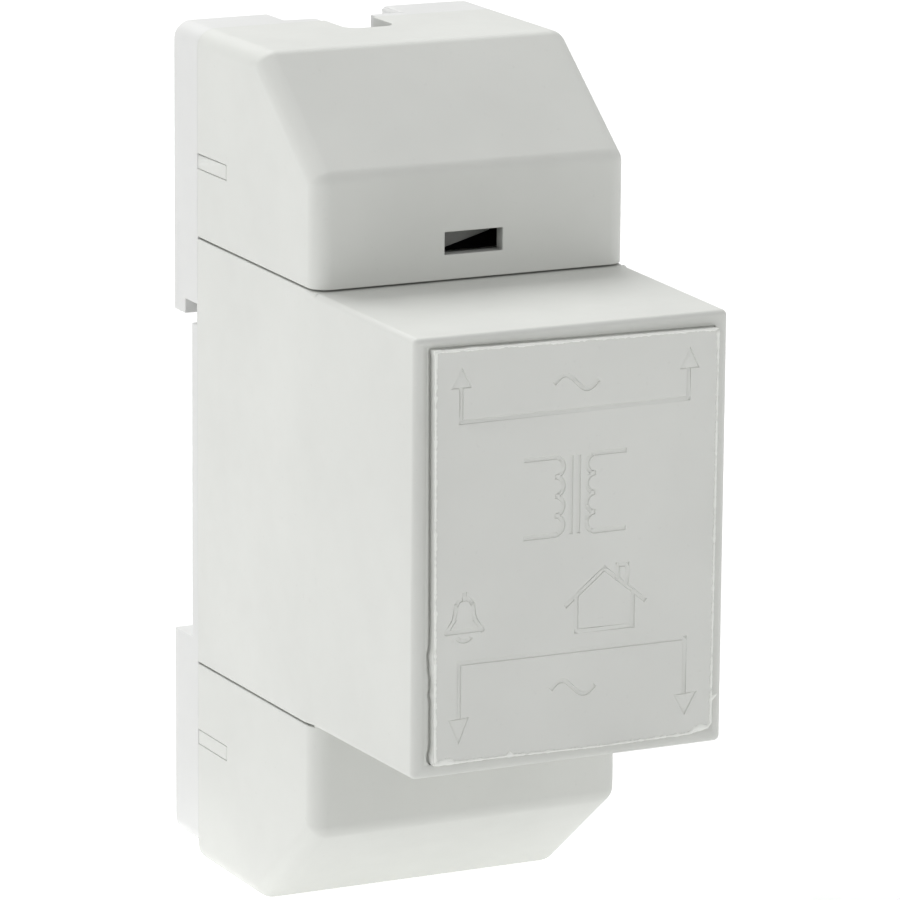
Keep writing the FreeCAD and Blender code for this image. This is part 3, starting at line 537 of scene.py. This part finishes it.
def rounded_copy(node, name, body, material, radius=EDGE_RADIUS):
    """Copy of a CAD node whose flat faces are joined and whose sharp edges are rounded off."""
    shape = bmesh.new()
    shape.from_mesh(nodes[node].data)
    bmesh.ops.remove_doubles(shape, verts=shape.verts, dist=WELD_DISTANCE * MM)
    bmesh.ops.dissolve_limit(shape, angle_limit=math.radians(JOINED_BELOW), verts=shape.verts,
                             edges=shape.edges)
    if node == "main_housing":
        run_out_rounding(shape)
    slivers = {f for f in shape.faces if f.calc_area() < SLIVER_AREA * MM * MM}
    sharp = [e for e in shape.edges if e.is_manifold and e.calc_face_angle(0.0) > math.radians(ROUNDED_ABOVE)
             and slivers.isdisjoint(e.link_faces)]
    if node != "rear_base":
        sharp = [e for e in sharp if not all(at_fit(v) for v in e.verts)]
    bmesh.ops.bevel(shape, geom=sharp, offset=radius * MM, offset_type="OFFSET", segments=EDGE_STEPS,
                    profile=0.5, affect="EDGES", clamp_overlap=False, miter_outer="SHARP")
    bmesh.ops.recalc_face_normals(shape, faces=shape.faces)
    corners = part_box(node)
    for v in shape.verts:
        v.co = [min(max(c, low), high) for c, low, high in zip(v.co, *corners)]
    close_fits(shape, node)
    add_piece(name, to_mesh(shape, name), body, material, (node,))


rounded_copy("main_housing", "housing_shell", "housing", housing_plastic)
rounded_copy("upper_cover", "upper_cover_shell", "upper_cover", cover_plastic)
rounded_copy("lower_cover", "lower_cover_shell", "lower_cover", cover_plastic)
rounded_copy("rear_base", "base_shell", "housing", base_plastic)
rounded_copy("rail_latch", "latch_shell", "latch", latch_plastic)
for side in ("secondary", "primary"):
    rounded_copy(side + "_terminal_block", side + "_block_shell", "housing",
                 terminal_plastic, BLOCK_EDGE_RADIUS)
    rounded_copy(side + "_clamps", side + "_cages", "housing", clamp_steel, CAGE_EDGE_RADIUS)
    rounded_copy(side + "_clamp_screws", side + "_screws", "housing", screw_steel)
rounded_copy("base_screws", "base_screw_heads", "housing", screw_steel)

# Nodes that keep their CAD shape
for node, material in (
        ("secondary_tags", tag_brass), ("primary_tags", tag_brass), ("e_core", core_steel),
        ("i_core", core_steel), ("bobbin", bobbin_plastic), ("primary_winding", winding_wire),
        ("secondary_winding", winding_wire), ("primary_tape", tape), ("secondary_tape", tape),
        ("thermal_cutout", cutout_body), ("primary_leads", lead_insulation),
        ("secondary_leads", lead_insulation), ("cutout_lead", lead_insulation)):
    for material_slot in nodes[node].material_slots:
        material_slot.material = material


# Signs of the rating plate, as outlines of shallow grooves
def stroke(start, end, width=MARK_WIDTH):
    """Outline of a straight groove, with square ends that reach half a width past its points."""
    along = (Vector(end) - Vector(start)).normalized() * width / 2
    across = Vector((-along.y, along.x))
    a = Vector(start) - along
    b = Vector(end) + along
    return [a + across, a - across, b - across, b + across]


def chain(points):
    return [stroke(points[i], points[i + 1]) for i in range(len(points) - 1)]


def arc(centre, radius, start_degrees, end_degrees):
    """Outline of a groove along a circular arc."""
    sweep = end_degrees - start_degrees
    angles = [math.radians(start_degrees + sweep * i / ARC_STEPS) for i in range(ARC_STEPS + 1)]
    ways = [Vector((math.cos(t), math.sin(t))) for t in angles]
    outer = [Vector(centre) + way * (radius + MARK_WIDTH / 2) for way in ways]
    inner = [Vector(centre) + way * (radius - MARK_WIDTH / 2) for way in ways]
    return outer + inner[::-1]


def direction(line, i):
    """Direction of a line of points at one of them."""
    return (line[min(i + 1, len(line) - 1)] - line[max(i - 1, 0)]).normalized()


def ribbon(points):
    """Outline of a groove along a smooth line of points."""
    line = [Vector(p) for p in points]
    left = []
    right = []
    for i, p in enumerate(line):
        along = direction(line, i)
        across = Vector((-along.y, along.x)) * MARK_WIDTH / 2
        left.append(p + across)
        right.append(p - across)
    return right + left[::-1]


def arrow(*corners):
    return [Vector(corner) for corner in corners]


def bracket_marks():
    """Two brackets whose arrows point to the upper and lower terminals."""
    marks = chain([(-12.74, 18.8), (-12.74, 15.5), (12.63, 15.65), (12.63, 18.65)])
    marks.append(arrow((-12.7, 21.05), (-13.9, 18.9), (-11.6, 18.9)))
    marks.append(arrow((12.77, 20.9), (11.58, 18.65), (13.87, 18.65)))
    marks += chain([(-12.76, -14.7), (-12.76, -9.13), (12.65, -9.26), (12.65, -14.95)])
    marks.append(arrow((-12.74, -17.5), (-11.6, -14.75), (-13.95, -14.85)))
    marks.append(arrow((12.77, -17.4), (14.16, -15.0), (11.48, -15.1)))
    return marks


def bell_marks():
    """Plain bell: a stem, a domed body, a rim and a clapper."""
    x = -12.22
    rim = -5.85
    marks = [stroke((x, -2.05), (x, -2.55)), arc((x, -3.45), 0.95, 10, 170)]
    for side in (-1, 1):
        marks += chain([(x + side * 0.93, -3.25), (x + side * 1.15, -4.65), (x + side * 1.95, rim)])
    marks.append(stroke((x - 1.95, rim), (x + 1.95, rim)))
    marks.append(arc((x, rim), 1.0, 220, 320))
    return marks


def house_marks():
    """Plain house for indoor use: a roof, two walls, a floor and a chimney."""
    marks = chain([(-0.8, -4.4), (3.43, -1.05), (7.95, -4.7)])
    marks += chain([(0.3, -3.6), (0.3, -7.2), (6.68, -7.3), (6.68, -3.7)])
    marks += chain([(4.92, -2.2), (4.92, -0.8), (5.97, -0.85), (5.97, -3.0)])
    return marks


def wave_mark(x, z):
    """One period of a wave, the usual sign for alternating current."""
    points = []
    for i in range(WAVE_STEPS + 1):
        across = WAVE_LENGTH * (i / WAVE_STEPS - 0.5)
        rise = WAVE_HEIGHT * math.sin(2 * math.pi * i / WAVE_STEPS)
        points.append((x + across, z + rise))
    return ribbon(points)


def coil_marks():
    """Circuit sign of a transformer: two rows of half rings with a core between them."""
    marks = []
    for side in (-1, 1):
        x = side * 2.3
        bow = (-90, 90) if side < 0 else (90, 270)
        for turn in range(4):
            marks.append(arc((x, 9.95 - 2 * turn), 1.0, *bow))
        for z in (10.95, 2.95):
            marks.append(stroke((x, z), (x + side * 3.2, z)))
        marks.append(stroke((side * 0.42, 3.1), (side * 0.42, 10.8), CORE_WIDTH))
    return marks


# Rating plate: trimmed rim, signs, walls, groove and ledge, and a bead of flash
def even_points(corners, pitch):
    """Points at an even pitch along a chain of straight runs, without the chain's last corner."""
    points = []
    for a, b in zip(corners, corners[1:]):
        count = max(1, round((Vector(b) - Vector(a)).length / pitch))
        points += [Vector(a).lerp(Vector(b), k / count) for k in range(count)]
    return points


def rim_line():
    """Even points round the plate's trimmed edge, anticlockwise as seen from the front."""
    top_left, low_left, _, top_right = PLATE_CORNERS
    return even_points([top_left, low_left, *LOW_EDGE, *WORN_CORNER, top_right, top_left], RIM_PITCH)


def outward(points):
    """Outward direction at each point of a closed line."""
    ways = []
    for i in range(len(points)):
        along = points[(i + 1) % len(points)] - points[i - 1]
        ways.append(Vector((-along.y, along.x)).normalized() * -1)
    return ways


def swell(point, table):
    """Sum of the smooth bumps of a table at a point of the edge."""
    return sum(size * math.exp(-((point - Vector((x, z))).length / half_width) ** 2)
               for x, z, size, half_width in table)


def noise_at(point, scale, layer):
    """Smooth noise at a point of the plate's front; each layer is another pattern."""
    return noise.noise(Vector((point.x * scale, point.y * scale, layer)))


def burr_reach(point):
    slow = noise_at(point, 2.1, 3.0)
    quick = noise_at(point, 6.0, 7.0)
    return BURR_SLOW * slow + BURR_QUICK * quick + swell(point, BURRS)


def on_ledge(point):
    """The point itself, or the nearest one on the ledge that fills the housing's recess."""
    return [min(max(v, low), high) for v, low, high in zip(point, PLATE_LEDGE_LOW, PLATE_LEDGE_HIGH)]


def groove_width(way):
    """The groove is wide along the top and left edges, where it shows as a dark line."""
    return GROOVE_WIDE if way.y - way.x > EDGE_FACING else GROOVE_NARROW


def field_points():
    """Grid of points that lets the plate's front follow its slow wave."""
    points = []
    x = PLATE_CORNERS[0][0] + FIELD_START
    while x < PLATE_CORNERS[2][0] - FIELD_END:
        z = PLATE_CORNERS[2][1] + FIELD_START
        while z < PLATE_CORNERS[3][1] - FIELD_END:
            points.append(Vector((x, z)))
            z += FIELD_PITCH
        x += FIELD_PITCH
    return points


def plate_front(shape, edge, ways):
    """Front face with its sunk signs; returns the vertices of its outer edge in order."""
    count = len(edge)
    flat = edge + [p - w * RIM_WIDTH for p, w in zip(edge, ways)]
    loops = [list(range(count)), list(range(count, 2 * count))]
    edges = [(loop[i], loop[(i + 1) % count]) for loop in loops for i in range(count)]
    faces = [loops[0]]
    flat += field_points()
    marks = bracket_marks() + bell_marks() + house_marks() + coil_marks()
    marks += [wave_mark(x, z) for x, z in WAVE_PLACES]
    for outline in marks:
        start = len(flat)
        flat += outline
        faces.append(list(range(start, len(flat))))
    places, _, triangles, origins, _, sources = delaunay_2d_cdt(flat, edges, faces, 1, CUT_TOLERANCE)

    rim = {}
    for new, old in enumerate(origins):
        for k in old:
            if k < count:
                rim[k] = new
    edge_points = set(rim.values())
    for i, p in enumerate(places):
        wave = FIELD_WAVE * noise_at(p, 0.12, 2.0)
        depth = PLATE_EDGE_Y if i in edge_points else PLATE_FIELD_Y + wave
        shape.verts.new((p.x * MM, depth * MM, p.y * MM))
    shape.verts.ensure_lookup_table()
    outer = [shape.verts[rim[k]] for k in range(count)]
    sunk = []
    for triangle, source in zip(triangles, sources):
        face = shape.faces.new([shape.verts[i] for i in triangle])
        face.normal_update()
        if face.normal.y > 0:
            face.normal_flip()
        if any(k > 0 for k in source):
            sunk.append(face)
    bmesh.ops.inset_region(shape, faces=sunk, thickness=MARK_WALL * MM, depth=-MARK_DEPTH * MM,
                           use_boundary=True, use_even_offset=True)
    return outer


def plate_mesh():
    """Plate with a trimmed edge, sunk signs, straight walls, and a groove and a ledge round their foot."""
    line = rim_line()
    ways = outward(line)
    count = len(line)
    edge = [p + w * burr_reach(p) for p, w in zip(line, ways)]
    shape = bmesh.new()
    rings = [plate_front(shape, edge, ways)]
    groove = [on_ledge(p + w * groove_width(w)) for p, w in zip(edge, ways)]
    ledge = [on_ledge(p + w * LEDGE_REACH) for p, w in zip(edge, ways)]
    floors = [GROOVE_TOP_Y if w.y > EDGE_FACING else GROOVE_Y for w in ways]
    for outline, depths in ((edge, floors), (groove, floors), (groove, [PLATE_LEDGE_Y] * count),
                            (ledge, [PLATE_LEDGE_Y] * count), (ledge, [PLATE_BACK_Y] * count)):
        rings.append([shape.verts.new((p[0] * MM, y * MM, p[1] * MM)) for p, y in zip(outline, depths)])
    for upper, lower in zip(rings, rings[1:]):
        for k in range(count):
            shape.faces.new((upper[k], upper[(k + 1) % count], lower[(k + 1) % count], lower[k]))
    shape.faces.new(rings[-1])
    bmesh.ops.dissolve_degenerate(shape, dist=SHORTEST_EDGE * MM, edges=shape.edges)
    bmesh.ops.recalc_face_normals(shape, faces=shape.faces)
    return to_mesh(shape, "plate_face")


def bead_ring(shape, line, i):
    """Ring of vertices round the bead at one point of its line; the ends taper off."""
    p = line[i]
    along = direction(line, i)
    inward = Vector((-along.y, along.x))
    slow = noise_at(p, 1.7, 21.0)
    quick = noise_at(p, 4.3, 4.0)
    radius = BEAD_RADIUS * max(BEAD_LEAST, 1 + BEAD_SLOW * slow + BEAD_QUICK * quick) + swell(p, SWELLINGS)
    radius *= min(1.0, BEAD_TIP + BEAD_TAPER * min(i, len(line) - 1 - i))
    half_width = radius + 0.5 * swell(p, FLAKES) * (FLAKE_EVEN + FLAKE_QUICK * abs(quick))
    middle = p + inward * (half_width - BEAD_OVERHANG * radius)
    ring = []
    for k in range(BEAD_SIDES):
        angle = 2 * math.pi * k / BEAD_SIDES
        q = middle + inward * half_width * math.cos(angle)
        proud = min(BEAD_PROUD, radius) * math.sin(angle)
        ring.append(shape.verts.new((q.x * MM, (PLATE_FIELD_Y - proud) * MM, q.y * MM)))
    return ring


def bead_mesh():
    """Thin uneven bead of flash along the plate's edges, with flat flakes, a whisker and a curl."""
    top_left, low_left, _, top_right = PLATE_CORNERS
    paths = [[low_left, *LOW_EDGE, *WORN_CORNER, top_right], [top_right, top_left, low_left], WHISKER, CURL]
    shape = bmesh.new()
    for path in paths:
        line = even_points(path, BEAD_PITCH)
        skin(shape, [bead_ring(shape, line, i) for i in range(len(line))])
    bmesh.ops.recalc_face_normals(shape, faces=shape.faces)
    return to_mesh(shape, "plate_flash")


add_piece("plate_face", plate_mesh(), "housing", plate_plastic, ("rating_plate",))
# the flash bead gets the lighter colour, a painted highlight
add_piece("plate_flash", bead_mesh(), "housing", flash_highlight_plastic)


# Latch spring: round wire whose end turns are closed
def spring_line():
    total = int(SPRING_TURNS * SPRING_TURN_STEPS)
    low = SPRING_LOW + SPRING_WIRE
    high = SPRING_HIGH - SPRING_WIRE
    points = []
    for i in range(total + 1):
        turn = i / total * SPRING_TURNS
        rise = (turn - SPRING_CLOSED_TURNS) / (SPRING_TURNS - 2 * SPRING_CLOSED_TURNS)
        angle = 2 * math.pi * i / SPRING_TURN_STEPS
        points.append(Vector((SPRING_RADIUS * math.cos(angle), SPRING_Y + SPRING_RADIUS * math.sin(angle),
                              low + (high - low) * min(1.0, max(0.0, rise)))))
    return points


def spring_mesh():
    line = spring_line()
    shape = bmesh.new()
    rings = []
    for i, p in enumerate(line):
        out = (p - Vector((0, SPRING_Y, p.z))).normalized()
        up = direction(line, i).cross(out).normalized()
        angles = [2 * math.pi * k / SPRING_SIDES for k in range(SPRING_SIDES)]
        ways = [out * math.cos(a) + up * math.sin(a) for a in angles]
        rings.append([shape.verts.new((p + way * SPRING_WIRE) * MM) for way in ways])
    skin(shape, rings)
    bmesh.ops.recalc_face_normals(shape, faces=shape.faces)
    return to_mesh(shape, "latch_coil")


coil = add_piece("latch_coil", spring_mesh(), "housing", spring_steel, ("latch_spring",))
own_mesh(coil)


# Stage: pale floor that glows under the object, soft lights and the camera
def make_floor():
    height = cad_box[0].z - FLOOR_DROP
    corners = [(x * FLOOR_HALF, y * FLOOR_HALF, height) for x, y in ((-1, -1), (1, -1), (1, 1), (-1, 1))]
    mesh = bpy.data.meshes.new("floor")
    mesh.from_pydata(corners, [], [(0, 1, 2, 3)])
    floor = bpy.data.objects.new("floor", mesh)
    floor.location.y = GLOW_CENTRE_Y
    scene.collection.objects.link(floor)
    material, tree, shader = new_material("floor")
    shader.inputs["Base Color"].default_value = FLOOR_WHITE
    shader.inputs["Roughness"].default_value = 0.9
    shader.inputs["Specular IOR Level"].default_value = 0.1
    shader.inputs["Emission Color"].default_value = WHITE
    away = tree.nodes.new("ShaderNodeVectorMath")
    away.operation = "LENGTH"
    tree.links.new(place(tree, GLOW_SHAPE), away.inputs[0])
    fade = spread(tree, away.outputs["Value"], FLOOR_GLOW, GLOW_FAR, GLOW_FULL, GLOW_END)
    tree.links.new(fade, shader.inputs["Emission Strength"])
    mesh.materials.append(material)


def area_light(name, position, size, power):
    data = bpy.data.lights.new(name, "AREA")
    data.shape = "RECTANGLE"
    data.size, data.size_y = size
    data.energy = power
    lamp = bpy.data.objects.new(name, data)
    scene.collection.objects.link(lamp)
    lamp.location = position
    way = Vector(LIGHT_TARGET) - Vector(position)
    lamp.rotation_euler = way.to_track_quat("-Z", "Y").to_euler()


def make_world():
    world = bpy.data.worlds.new("studio")
    world.use_nodes = True
    background = world.node_tree.nodes["Background"]
    background.inputs["Color"].default_value = WHITE
    background.inputs["Strength"].default_value = WORLD_GLOW
    scene.world = world


def make_camera():
    """Camera whose axes come from the fitted angles."""
    azimuth, elevation, roll = (math.radians(a) for a in (CAMERA_AZIMUTH, CAMERA_ELEVATION, CAMERA_ROLL))
    level = Vector((math.cos(azimuth), math.sin(azimuth), 0))
    back = Vector((math.sin(azimuth) * math.cos(elevation), -math.cos(azimuth) * math.cos(elevation),
                   math.sin(elevation)))
    upright = back.cross(level)
    right = level * math.cos(roll) - upright * math.sin(roll)
    up = level * math.sin(roll) + upright * math.cos(roll)
    eye = Vector(CAMERA_TARGET) + back * CAMERA_DISTANCE + right * CAMERA_PAN[0] + up * CAMERA_PAN[1]
    data = bpy.data.cameras.new("camera")
    data.sensor_width = SENSOR_MM
    data.lens = FOCAL_PIXELS / IMAGE_PIXELS * SENSOR_MM
    data.clip_start, data.clip_end = CAMERA_CLIP
    camera = bpy.data.objects.new("camera", data)
    scene.collection.objects.link(camera)
    turn = Matrix((right, up, back)).transposed().to_4x4()
    camera.matrix_world = Matrix.Translation(eye * MM) @ turn
    scene.camera = camera


make_floor()
make_world()
for light in LIGHTS:
    area_light(*light)
make_camera()
